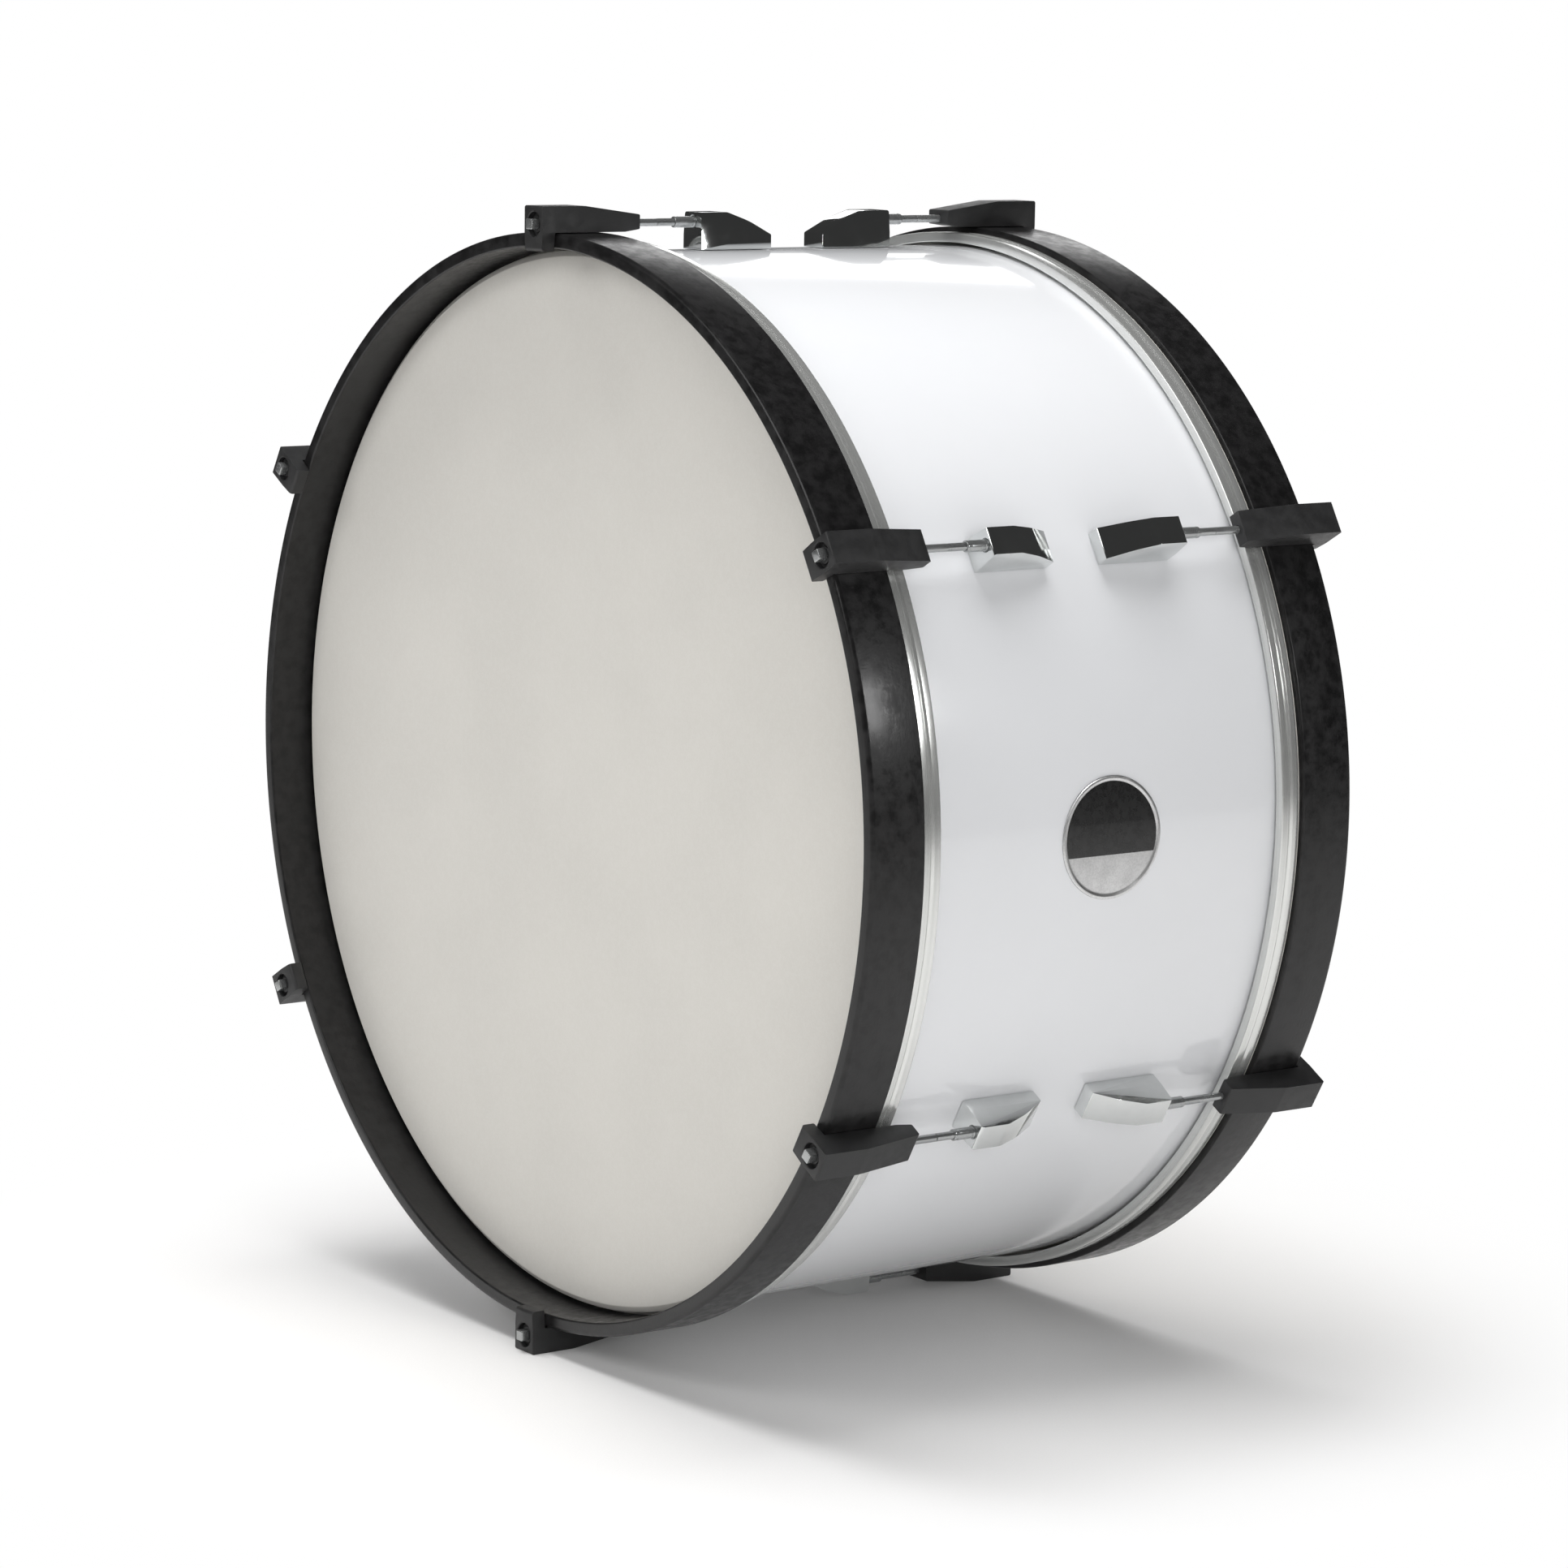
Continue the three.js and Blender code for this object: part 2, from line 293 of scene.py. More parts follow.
class Wiring:
    """Adds nodes to one node tree and joins them."""

    def __init__(self, tree):
        self.tree = tree

    def node(self, kind, settings=None, **inputs):
        """A new node, with its settings and its inputs."""
        made = self.tree.nodes.new(kind)
        for name, value in (settings or {}).items():
            setattr(made, name, value)
        for name, value in inputs.items():
            self.feed(made.inputs[name.replace("_", " ")], value)
        return made

    def feed(self, socket, value):
        """Links an output to the socket, or sets the socket's own value."""
        if isinstance(value, bpy.types.NodeSocket):
            self.tree.links.new(value, socket)
        else:
            socket.default_value = value

    def math(self, operation, *values):
        """One arithmetic operation on one to three values."""
        made = self.node("ShaderNodeMath", {"operation": operation})
        for socket, value in zip(made.inputs, values):
            self.feed(socket, value)
        return made.outputs[0]

    def mapped(self, value, source, target, smooth=False):
        """The value moved from the source range to the target range."""
        kind = "SMOOTHSTEP" if smooth else "LINEAR"
        made = self.node("ShaderNodeMapRange", {"interpolation_type": kind}, Value=value)
        for name, number in zip(("From Min", "From Max", "To Min", "To Max"), source + target):
            self.feed(made.inputs[name], number)
        return made.outputs["Result"]

    def noise(self, vector, scale, detail=3.0, roughness=0.55):
        """Noise at a place, from 0 to 1."""
        made = self.node("ShaderNodeTexNoise", Scale=scale, Detail=detail, Roughness=roughness)
        self.feed(made.inputs["Vector"], vector)
        return made.outputs["Fac"]

    def place(self):
        """The place on the object, in metres."""
        return self.node("ShaderNodeTexCoord").outputs["Object"]

    def scaled(self, colour, factor):
        """The colour made lighter or darker by a factor."""
        made = self.node("ShaderNodeVectorMath", {"operation": "SCALE"})
        self.feed(made.inputs[0], colour)
        self.feed(made.inputs["Scale"], factor)
        return made.outputs[0]

    def mix(self, kind, factor, first, second):
        """A mix of two values (FLOAT) or of two colours (RGBA)."""
        made = self.node("ShaderNodeMix", {"data_type": kind})
        self.feed(made.inputs["Factor"], factor)
        self.feed(made.inputs["A"], first)
        self.feed(made.inputs["B"], second)
        return made.outputs["Result"]


def new_group(name, inputs, outputs):
    """An empty shader group with its sockets: (name, kind, default) in, (name, kind) out."""
    tree = bpy.data.node_groups.new(name, "ShaderNodeTree")
    for label, kind, default in inputs:
        socket = tree.interface.new_socket(label, in_out="INPUT", socket_type=kind)
        socket.default_value = default
    for label, kind in outputs:
        tree.interface.new_socket(label, in_out="OUTPUT", socket_type=kind)
    wiring = Wiring(tree)
    return tree, wiring, wiring.node("NodeGroupInput").outputs, wiring.node("NodeGroupOutput")


FLOAT = "NodeSocketFloat"
COLOUR = "NodeSocketColor"


def mottle_group():
    """Cloudy change of a colour and of a roughness, for lacquer, film and plastic."""
    tree, w, given, out = new_group(
        "mottle",
        [
            ("Colour", COLOUR, (0.5, 0.5, 0.5, 1)),
            ("Amount", FLOAT, 0.1),
            ("Scale", FLOAT, 40.0),
            ("Roughness", FLOAT, 0.4),
            ("Spread", FLOAT, 0.1),
        ],
        [("Colour", COLOUR), ("Roughness", FLOAT), ("Mask", FLOAT)],
    )
    cloud = w.noise(w.place(), given["Scale"], detail=4.0, roughness=0.6)
    mask = w.mapped(cloud, (0.3, 0.7), (0.0, 1.0), smooth=True)
    swing = w.math("SUBTRACT", mask, 0.5)
    level = w.math("MULTIPLY_ADD", swing, given["Amount"], 1.0)
    rough = w.math("MULTIPLY_ADD", swing, given["Spread"], given["Roughness"])
    w.feed(out.inputs["Colour"], w.scaled(given["Colour"], level))
    w.feed(out.inputs["Roughness"], rough)
    w.feed(out.inputs["Mask"], mask)
    return tree


def grain_group():
    """A fine even texture as a height, from 0 to 1."""
    tree, w, given, out = new_group(
        "fine_grain",
        [("Scale", FLOAT, 600.0), ("Coarse Scale", FLOAT, 60.0), ("Coarse Share", FLOAT, 0.3)],
        [("Height", FLOAT)],
    )
    place = w.place()
    fine = w.noise(place, given["Scale"], detail=2.0)
    coarse = w.noise(place, given["Coarse Scale"], detail=2.0)
    w.feed(out.inputs["Height"], w.mix("FLOAT", given["Coarse Share"], fine, coarse))
    return tree


def turned_group():
    """Fine lines that run round the drum's axis, as a lathe or a roller leaves them."""
    tree, w, given, out = new_group(
        "turned_lines",
        [("Scale", FLOAT, 900.0), ("Wander", FLOAT, 6.0)],
        [("Height", FLOAT)],
    )
    parts = w.node("ShaderNodeSeparateXYZ", Vector=w.place()).outputs
    height = w.math("SUBTRACT", parts["Z"], AXIS_HEIGHT * MILLIMETRE)
    across_square = w.math("MULTIPLY", parts["X"], parts["X"])
    height_square = w.math("MULTIPLY", height, height)
    radius = w.math("SQRT", w.math("ADD", across_square, height_square))
    turn = w.math("ARCTAN2", parts["X"], height)
    along = w.node("ShaderNodeCombineXYZ")
    w.feed(along.inputs["X"], w.math("MULTIPLY", radius, given["Scale"]))
    w.feed(along.inputs["Y"], w.math("MULTIPLY", parts["Y"], given["Scale"]))
    w.feed(along.inputs["Z"], w.math("MULTIPLY", turn, given["Wander"]))
    w.feed(out.inputs["Height"], w.noise(along.outputs[0], 1.0))
    return tree


RIPPLE_SCALE = 260.0


def haze_group():
    """Handling haze as a roughness and a faint ripple as a height, for polished metal."""
    tree, w, given, out = new_group(
        "handling_haze",
        [("Roughness", FLOAT, 0.08), ("Haze", FLOAT, 0.06), ("Scale", FLOAT, 120.0)],
        [("Roughness", FLOAT), ("Height", FLOAT)],
    )
    place = w.place()
    cloud = w.noise(place, given["Scale"], detail=4.0)
    mask = w.mapped(cloud, (0.42, 0.68), (0.0, 1.0), smooth=True)
    rough = w.math("MULTIPLY_ADD", mask, given["Haze"], given["Roughness"])
    w.feed(out.inputs["Roughness"], rough)
    w.feed(out.inputs["Height"], w.noise(place, RIPPLE_SCALE, detail=1.0))
    return tree


GROUPS = {}


def build_groups():
    """Makes each shader group once, for all the materials."""
    GROUPS["mottle"] = mottle_group()
    GROUPS["grain"] = grain_group()
    GROUPS["turned"] = turned_group()
    GROUPS["haze"] = haze_group()


# Materials


def new_material(name, **constants):
    """A material with a Principled shader whose constants sit on its own sockets."""
    material = bpy.data.materials.new(name)
    material.use_nodes = True
    material.node_tree.nodes.clear()
    w = Wiring(material.node_tree)
    shader = w.node("ShaderNodeBsdfPrincipled")
    for label, value in constants.items():
        shader.inputs[label.replace("_", " ")].default_value = value
    surface = w.node("ShaderNodeOutputMaterial")
    w.feed(surface.inputs["Surface"], shader.outputs[0])
    return material, w, shader


def group(w, name, **inputs):
    """The outputs of one of the shader groups, used with these inputs."""
    return w.node("ShaderNodeGroup", {"node_tree": GROUPS[name]}, **inputs).outputs


def tint(w, shader, colour, roughness):
    """Feeds a colour and a roughness to the shader."""
    w.feed(shader.inputs["Base Color"], colour)
    w.feed(shader.inputs["Roughness"], roughness)


def relief(w, shader, height, depth, strength):
    """Feeds a height, depth millimetres deep, to the shader's normal."""
    bump = w.node("ShaderNodeBump", Strength=strength, Distance=depth * MILLIMETRE, Height=height)
    w.feed(shader.inputs["Normal"], bump.outputs[0])


def gloss_white():
    """The shell's smooth white covering, with the slight waviness of ply under it."""
    material, w, shader = new_material(
        "gloss_white_covering", Coat_Roughness=0.04, Coat_IOR=1.5, Specular_IOR_Level=0.5
    )
    white = (0.83, 0.84, 0.86, 1)
    tone = group(w, "mottle", Colour=white, Amount=0.02, Scale=7.0, Roughness=0.14, Spread=0.04)
    grain = group(w, "grain", Scale=420.0, Coarse_Scale=26.0, Coarse_Share=0.6)
    tint(w, shader, tone["Colour"], tone["Roughness"])
    w.feed(shader.inputs["Coat Weight"], w.mapped(tone["Mask"], (0.0, 1.0), (0.62, 0.7)))
    relief(w, shader, grain["Height"], depth=0.05, strength=0.4)
    return material


def ply_wood():
    """Bare ply inside the shell and on the bearing edges."""
    material, w, shader = new_material("bare_ply", Specular_IOR_Level=0.4)
    pale = (0.62, 0.44, 0.27, 1)
    brown = (0.42, 0.27, 0.15, 1)
    lines = group(w, "turned", Scale=700.0, Wander=5.0)
    figure = group(w, "mottle", Colour=pale, Amount=0.25, Scale=14.0, Roughness=0.5, Spread=0.1)
    dark = w.mapped(lines["Height"], (0.35, 0.65), (0.0, 0.7), smooth=True)
    tint(w, shader, w.mix("RGBA", dark, figure["Colour"], brown), figure["Roughness"])
    relief(w, shader, lines["Height"], depth=0.08, strength=0.5)
    return material


def black_lacquer():
    """Satin black lacquer over bent wood, with the open grain showing through as a mottle."""
    material, w, shader = new_material(
        "satin_black_lacquer", Specular_IOR_Level=0.36, Coat_Roughness=0.16
    )
    black = (0.0105, 0.0102, 0.0105, 1)
    line_share = 0.6
    tone = group(w, "mottle", Colour=black, Amount=0.8, Scale=130.0, Roughness=0.38, Spread=0.2)
    lines = group(w, "turned", Scale=320.0, Wander=24.0)
    grain = group(w, "grain", Scale=520.0, Coarse_Scale=110.0, Coarse_Share=0.55)
    tint(w, shader, tone["Colour"], tone["Roughness"])
    w.feed(shader.inputs["Coat Weight"], w.mapped(tone["Mask"], (0.0, 1.0), (0.08, 0.22)))
    height = w.math("MULTIPLY_ADD", lines["Height"], line_share, grain["Height"])
    relief(w, shader, height, depth=0.2, strength=0.6)
    return material


def turned_alloy():
    """Polished aluminium with fine lines round the ring."""
    material, w, shader = new_material("turned_aluminium", Metallic=0.74, Specular_IOR_Level=0.5)
    dull = (0.70, 0.71, 0.69, 1)
    bright = (0.79, 0.795, 0.78, 1)
    lines = group(w, "turned", Scale=900.0, Wander=0.6)
    haze = group(w, "haze", Roughness=0.2, Haze=0.04, Scale=30.0)
    shade = w.mapped(lines["Height"], (0.3, 0.7), (0.0, 1.0))
    tint(w, shader, w.mix("RGBA", shade, dull, bright), haze["Roughness"])
    relief(w, shader, lines["Height"], depth=0.003, strength=0.2)
    return material


def coated_film():
    """The heads' warm white coating, sprayed on in fine specks."""
    material, w, shader = new_material("coated_film", Specular_IOR_Level=0.35)
    warm = (0.72, 0.70, 0.655, 1)
    pale = (0.86, 0.85, 0.82, 1)
    tone = group(w, "mottle", Colour=warm, Amount=0.045, Scale=9.0, Roughness=0.6, Spread=0.08)
    grain = group(w, "grain", Scale=750.0, Coarse_Scale=240.0, Coarse_Share=0.4)
    speck = w.mapped(grain["Height"], (0.4, 0.62), (0.0, 0.12), smooth=True)
    tint(w, shader, w.mix("RGBA", speck, tone["Colour"], pale), tone["Roughness"])
    relief(w, shader, grain["Height"], depth=0.09, strength=0.6)
    return material


def moulded_black():
    """The claws' matt black plastic, pebbled and slightly mottled."""
    material, w, shader = new_material("moulded_black_plastic", Specular_IOR_Level=0.5)
    black = (0.022, 0.022, 0.0225, 1)
    tone = group(w, "mottle", Colour=black, Amount=0.35, Scale=120.0, Roughness=0.5, Spread=0.14)
    grain = group(w, "grain", Scale=1300.0, Coarse_Scale=380.0, Coarse_Share=0.35)
    tint(w, shader, tone["Colour"], tone["Roughness"])
    relief(w, shader, grain["Height"], depth=0.08, strength=0.7)
    return material


def bright_plating(name, colour, metallic, roughness, haze):
    """Chrome plating with faint haze and ripple."""
    material, w, shader = new_material(name, Metallic=metallic, Specular_IOR_Level=0.5)
    film = group(w, "haze", Roughness=roughness, Haze=haze, Scale=60.0)
    tone = group(w, "mottle", Colour=colour, Amount=0.06, Scale=60.0)
    tint(w, shader, tone["Colour"], film["Roughness"])
    relief(w, shader, film["Height"], depth=0.01, strength=0.12)
    return material


def rod_plating():
    """The darker, duller chrome of the rods, nuts and screws."""
    grey = (0.40, 0.41, 0.41, 1)
    return bright_plating("rod_chrome_plate", grey, metallic=0.8, roughness=0.2, haze=0.08)


def lug_plating():
    """The bright chrome of the lugs."""
    silver = (0.74, 0.755, 0.75, 1)
    return bright_plating("lug_chrome_plate", silver, metallic=1.0, roughness=0.05, haze=0.05)


def badge_silver():
    """The badge's plate, brushed aluminium."""
    material, w, shader = new_material("brushed_badge_plate", Metallic=1.0)
    dull = (0.62, 0.62, 0.62, 1)
    bright = (0.76, 0.76, 0.76, 1)
    grain = group(w, "grain", Scale=900.0, Coarse_Scale=120.0, Coarse_Share=0.3)
    haze = group(w, "haze", Roughness=0.3, Haze=0.12, Scale=90.0)
    shade = w.mapped(grain["Height"], (0.35, 0.65), (0.0, 1.0))
    tint(w, shader, w.mix("RGBA", shade, dull, bright), haze["Roughness"])
    relief(w, shader, grain["Height"], depth=0.02, strength=0.5)
    return material


def badge_black():
    """The badge's black enamel field."""
    material, w, shader = new_material("black_enamel", Coat_Roughness=0.05)
    black = (0.012, 0.012, 0.012, 1)
    tone = group(w, "mottle", Colour=black, Amount=0.3, Scale=200.0, Roughness=0.28, Spread=0.1)
    grain = group(w, "grain", Scale=700.0, Coarse_Scale=160.0, Coarse_Share=0.5)
    tint(w, shader, tone["Colour"], tone["Roughness"])
    w.feed(shader.inputs["Coat Weight"], w.mapped(tone["Mask"], (0.0, 1.0), (0.3, 0.5)))
    relief(w, shader, grain["Height"], depth=0.03, strength=0.4)
    return material


# Shell

BEARING_INNER_DEPTH = 4.2
BEARING_OUTER_DEPTH = 2.6
BEARING_INNER_ROUND = 1.0
BEARING_CREST_ROUND = 0.5
BEARING_OUTER_ROUND = 0.8
COVERING_THICKNESS = 0.2
COVERED, BARE = 0, 1


def shell_mesh():
    """White outside, with bare ply inside and on both bearing edges."""
    inner = SHELL_RADIUS - SHELL_WALL
    crest = SHELL_RADIUS - CREST_INSET
    inner_end = SHELL_END - BEARING_INNER_DEPTH
    outer_end = SHELL_END - BEARING_OUTER_DEPTH
    outline = rounded(
        [
            (inner, -inner_end, BEARING_INNER_ROUND),
            (crest, -SHELL_END, BEARING_CREST_ROUND),
            (SHELL_RADIUS, -outer_end, BEARING_OUTER_ROUND),
            (SHELL_RADIUS, outer_end, BEARING_OUTER_ROUND),
            (crest, SHELL_END, BEARING_CREST_ROUND),
            (inner, inner_end, BEARING_INNER_ROUND),
        ]
    )
    mesh = smoothed(ring("shell_visual", outline))
    for face in mesh.polygons:
        out = math.hypot(face.center.x, face.center.z) / MILLIMETRE
        face.material_index = COVERED if out > SHELL_RADIUS - COVERING_THICKNESS else BARE
    return mesh


# Heads

FILM_THICKNESS = 0.4
FILM_MIDDLE_RADIUS = 1
FILM_COLLAR_GAP = 1
FILM_BEND_GAP = 0.4
FILM_BEND_DROP = 2.4
FILM_BEND_RISE = 0.3
FILM_CREST_SHIFT = 0.3
FILM_CREST_ROUND = 1.6
FILM_CREST_UNDER_ROUND = 1.2
FILM_BEND_ROUND = 2.4
FILM_BEND_UNDER_ROUND = 2.0
FILM_COLLAR_ROUND = 0.3
FILM_RIM_ROUND = 0.12


def head_mesh():
    """The film, flat to the crest, bent down outside the shell and out over the flesh hoop."""
    crest = SHELL_RADIUS - CREST_INSET
    collar = SHELL_RADIUS + FILM_COLLAR_GAP
    bend_radius = SHELL_RADIUS + FILM_BEND_GAP
    bend = SHELL_END - FILM_BEND_DROP
    rim_top = RIM_BOTTOM + FILM_THICKNESS
    under = FILM_TOP - FILM_THICKNESS
    outline = rounded(
        [
            (FILM_MIDDLE_RADIUS, under, 0),
            (crest, under, FILM_CREST_UNDER_ROUND),
            (bend_radius, bend, FILM_BEND_UNDER_ROUND),
            (collar, RIM_BOTTOM, FILM_COLLAR_ROUND),
            (RIM_RADIUS, RIM_BOTTOM, FILM_RIM_ROUND),
            (RIM_RADIUS, rim_top, FILM_RIM_ROUND),
            (collar + FILM_THICKNESS, rim_top, FILM_COLLAR_ROUND),
            (bend_radius + FILM_THICKNESS, bend + FILM_BEND_RISE, FILM_BEND_ROUND),
            (crest + FILM_CREST_SHIFT, FILM_TOP, FILM_CREST_ROUND),
            (FILM_MIDDLE_RADIUS, FILM_TOP, 0),
        ]
    )
    return smoothed(ring("head_visual", outline, capped=True), angle=40)


# Flesh hoops

FLESH_THICKNESS = 6.3
FLESH_GROOVE_DEPTH = 1.1
FLESH_GROOVE_WIDTH = 3.2
FLESH_GROOVE_ROUND = 0.6
FLESH_EDGE_ROUND = 0.5
FLESH_LOW_ROUND = 0.9
FLESH_HIGH_ROUND = 1.2


def flesh_hoop_mesh():
    """An aluminium ring with a groove round its outside."""
    inner = FLESH_RADIUS - FLESH_THICKNESS
    middle = (FLESH_LOW + FLESH_HIGH) / 2
    half = FLESH_GROOVE_WIDTH / 2
    outline = rounded(
        [
            (inner, FLESH_LOW, FLESH_EDGE_ROUND),
            (FLESH_RADIUS, FLESH_LOW, FLESH_LOW_ROUND),
            (FLESH_RADIUS, middle - half, FLESH_EDGE_ROUND),
            (FLESH_RADIUS - FLESH_GROOVE_DEPTH, middle, FLESH_GROOVE_ROUND),
            (FLESH_RADIUS, middle + half, FLESH_EDGE_ROUND),
            (FLESH_RADIUS, FLESH_HIGH, FLESH_HIGH_ROUND),
            (inner, FLESH_HIGH, FLESH_EDGE_ROUND),
        ]
    )
    return smoothed(ring("flesh_hoop_visual", outline))


# Counter hoops

HOOP_THICKNESS = 9
HOOP_LOW_INNER_ROUND = 0.6
HOOP_LOW_OUTER_ROUND = 1.2
HOOP_FACE_OUTER_ROUND = 2.6
HOOP_FACE_INNER_ROUND = 1.3
HOOP_ARC_STEPS = 7


def hoop_mesh():
    """A bent wooden ring, most rounded at the outer edge of its face."""
    inner = HOOP_RADIUS - HOOP_THICKNESS
    outline = rounded(
        [
            (inner, HOOP_LOW, HOOP_LOW_INNER_ROUND),
            (HOOP_RADIUS, HOOP_LOW, HOOP_LOW_OUTER_ROUND),
            (HOOP_RADIUS, HOOP_HIGH, HOOP_FACE_OUTER_ROUND),
            (inner, HOOP_HIGH, HOOP_FACE_INNER_ROUND),
        ],
        HOOP_ARC_STEPS,
    )
    return smoothed(ring("hoop_visual", outline))


# Claws

CLAW_SEAT = 0.4
CLAW_FLAT_LENGTH = 31
CLAW_NOSE_THICKNESS = 9.2
CLAW_TIP_CROWN = 5.5
CLAW_TIP_LIFT = 1.6
CLAW_TIP_RISE = 11
CLAW_LEG_HALF_WIDTH = 9
CLAW_LEG_NOSE_ROUND = 2.2
CLAW_BACK_NOSE_ROUND = 1.4
CLAW_BACK_BEND = 14.0
CLAW_TIP_ROUND = 1.2
CLAW_TIP_UNDER_ROUND = 1.0
CLAW_UNDER_BEND = 6.0
CLAW_SEAT_ROUND = 0.6
CLAW_LEG_INNER_ROUND = 1.0
CLAW_EDGE_ROUND = 1.1
CLAW_ARC_STEPS = 6
POCKET_RADIUS = 7.5
POCKET_FLARE = 0.5


def cylinder_tool(radius, low, high, flare=0.0):
    """A cutter on the rod's axis; flare opens its outer end."""
    outline = [(0, low), (radius, low), (radius, high - OVERRUN - flare)]
    if flare:
        outline.append((radius + flare, high - OVERRUN))
        outline.append((radius + flare, high))
    else:
        outline.append((radius, high))
    outline.append((0, high))
    return bar("cutter", outline)


def claw_mesh():
    """A moulded hook: side outline crossed with end outline, eased, then bored for the rod."""
    under = HOOP_RADIUS + CLAW_SEAT
    inside = CLAW_NOSE - CLAW_NOSE_THICKNESS
    side = rounded(
        [
            (CLAW_NOSE, CLAW_LEG_END, CLAW_LEG_NOSE_ROUND),
            (CLAW_NOSE, CLAW_BACK, CLAW_BACK_NOSE_ROUND),
            (CLAW_NOSE - CLAW_FLAT_LENGTH, CLAW_BACK, CLAW_BACK_BEND),
            (CLAW_TIP, ROD_CIRCLE + CLAW_TIP_CROWN, CLAW_TIP_ROUND),
            (CLAW_TIP, under + CLAW_TIP_LIFT, CLAW_TIP_UNDER_ROUND),
            (CLAW_TIP + CLAW_TIP_RISE, under, CLAW_UNDER_BEND),
            (inside, under, CLAW_SEAT_ROUND),
            (inside, CLAW_LEG_END, CLAW_LEG_INNER_ROUND),
        ],
        CLAW_ARC_STEPS,
    )
    leg = CLAW_LEG_HALF_WIDTH
    full = CLAW_HALF_WIDTH
    end = [
        (leg, CLAW_LEG_END - OVERRUN),
        (full, under),
        (full, CLAW_BACK + OVERRUN),
        (-full, CLAW_BACK + OVERRUN),
        (-full, under),
        (-leg, CLAW_LEG_END - OVERRUN),
    ]
    solid = side_prism("claw_visual", side, full + OVERRUN)
    ends = end_prism("claw_ends", end, CLAW_TIP - OVERRUN, CLAW_NOSE + OVERRUN)
    body = eased(combined(solid, ends, "INTERSECT"), CLAW_EDGE_ROUND)
    pocket_floor = CLAW_NOSE - POCKET_DEPTH
    pocket = cylinder_tool(POCKET_RADIUS, pocket_floor, CLAW_NOSE + OVERRUN, POCKET_FLARE)
    bored = combined(body, pocket, "DIFFERENCE")
    hole = cylinder_tool(ROD_RADIUS + SEAT_GAP, CLAW_TIP - OVERRUN, CLAW_NOSE)
    return smoothed(combined(bored, hole, "DIFFERENCE"))


# Tension rods

THREAD_DEPTH = 0.35
THREAD_PITCH = 0.8
THREAD_LENGTH = 37
THREAD_RUN_OUT = 0.2
THREAD_SIDES = 14
CREST_SHARE = 0.5
ROD_ROUND = 0.3
COLLAR_RADIUS = 5.2
COLLAR_THICKNESS = 1.6
COLLAR_TOP_ROUND = 0.6
KEY_WIDTH = 6.4
KEY_SIDE_ROUND = 0.7
KEY_EDGE_ROUND = 0.55
KEY_SINK = 0.4
PLATED, BLACK = 0, 1
BLACK_FROM_ROD = 0.2
BLACK_BELOW_SEAT = 0.1
BLACK_ABOVE_TOP = 0.05


def thread_mesh():
    """A helical thread from the rod's inner end, closed by a flat face at each end."""
    steps = (int(THREAD_LENGTH / THREAD_PITCH) + 1) * THREAD_SIDES
    last = ROD_END + THREAD_LENGTH + THREAD_RUN_OUT
    profile = ((0, ROD_RADIUS - THREAD_DEPTH), (CREST_SHARE, ROD_RADIUS))
    points = []
    for step in range(steps + 1):
        angle = 2 * math.pi * step / THREAD_SIDES
        for share, radius in profile:
            along = ROD_END + (step / THREAD_SIDES - 1 + share) * THREAD_PITCH
            along = min(max(along, ROD_END), last)
            points.append((radius * math.sin(angle), along, ROD_CIRCLE + radius * math.cos(angle)))
    faces = []
    one_turn = 2 * THREAD_SIDES
    for step in range(steps):
        root, crest = 2 * step, 2 * step + 1
        next_root, next_crest = root + 2, crest + 2
        faces.append((root, crest, next_crest, next_root))
        if step + THREAD_SIDES < steps:
            faces.append((crest, root + one_turn, next_root + one_turn, next_crest))
    return mesh_of("thread", points, faces)


def rod_mesh():
    """Key head, collar and threaded shank; the collar is black, a black washer whose black also
    stands in for painted shade deep in the claw's pocket.
    """
    seat = CLAW_NOSE - POCKET_DEPTH + SEAT_GAP
    top = seat + COLLAR_THICKNESS
    half = KEY_WIDTH / 2
    body = rounded(
        [
            (0, ROD_END + THREAD_LENGTH, 0),
            (ROD_RADIUS, ROD_END + THREAD_LENGTH, ROD_ROUND),
            (ROD_RADIUS, seat, 0),
            (COLLAR_RADIUS, seat, ROD_ROUND),
            (COLLAR_RADIUS, top, COLLAR_TOP_ROUND),
            (half, top, 0),
            (0, top, 0),
        ]
    )
    shank = bar("rod_visual", body)
    corners = ((1, -1), (1, 1), (-1, 1), (-1, -1))
    square = rounded([(x * half, z * half + ROD_CIRCLE, KEY_SIDE_ROUND) for x, z in corners])
    key = eased(end_prism("key", square, top - KEY_SINK, KEY_END), KEY_EDGE_ROUND, angle=60)
    mesh = smoothed(gathered("rod_visual", (shank, key, thread_mesh())), angle=36)
    for face in mesh.polygons:
        out = math.hypot(face.center.x, face.center.z - ROD_CIRCLE * MILLIMETRE) / MILLIMETRE
        along = face.center.y / MILLIMETRE
        # The collar's black is a black washer's, made dark also as painted shade for the deep claw
        # pocket it sits in.
        at_collar = seat - BLACK_BELOW_SEAT < along < top + BLACK_ABOVE_TOP
        black = at_collar and out > ROD_RADIUS + BLACK_FROM_ROD
        face.material_index = BLACK if black else PLATED
    return mesh


# Lug nuts

NUT_BORE_GAP = 0.05
NUT_BORE_ROUND = 0.1
NUT_LOW_ROUND = 0.3
NUT_HIGH_ROUND = 0.5
GROOVE_LIP_ROUND = 0.2
GROOVE_FLOOR_ROUND = 0.15
# Each groove: its depth, and where its lip, both ends of its floor and its other lip lie
LUG_GROOVE_DEPTH = 0.5
LUG_GROOVE_MIDDLE = 1.6
LUG_GROOVE_PLACES = (-0.9, -0.5, 0.5, 0.9)
BEAD_GROOVE_DEPTH = 0.45
BEAD_GROOVE_PLACES = (-3.2, -2.7, -2.0, -1.6)


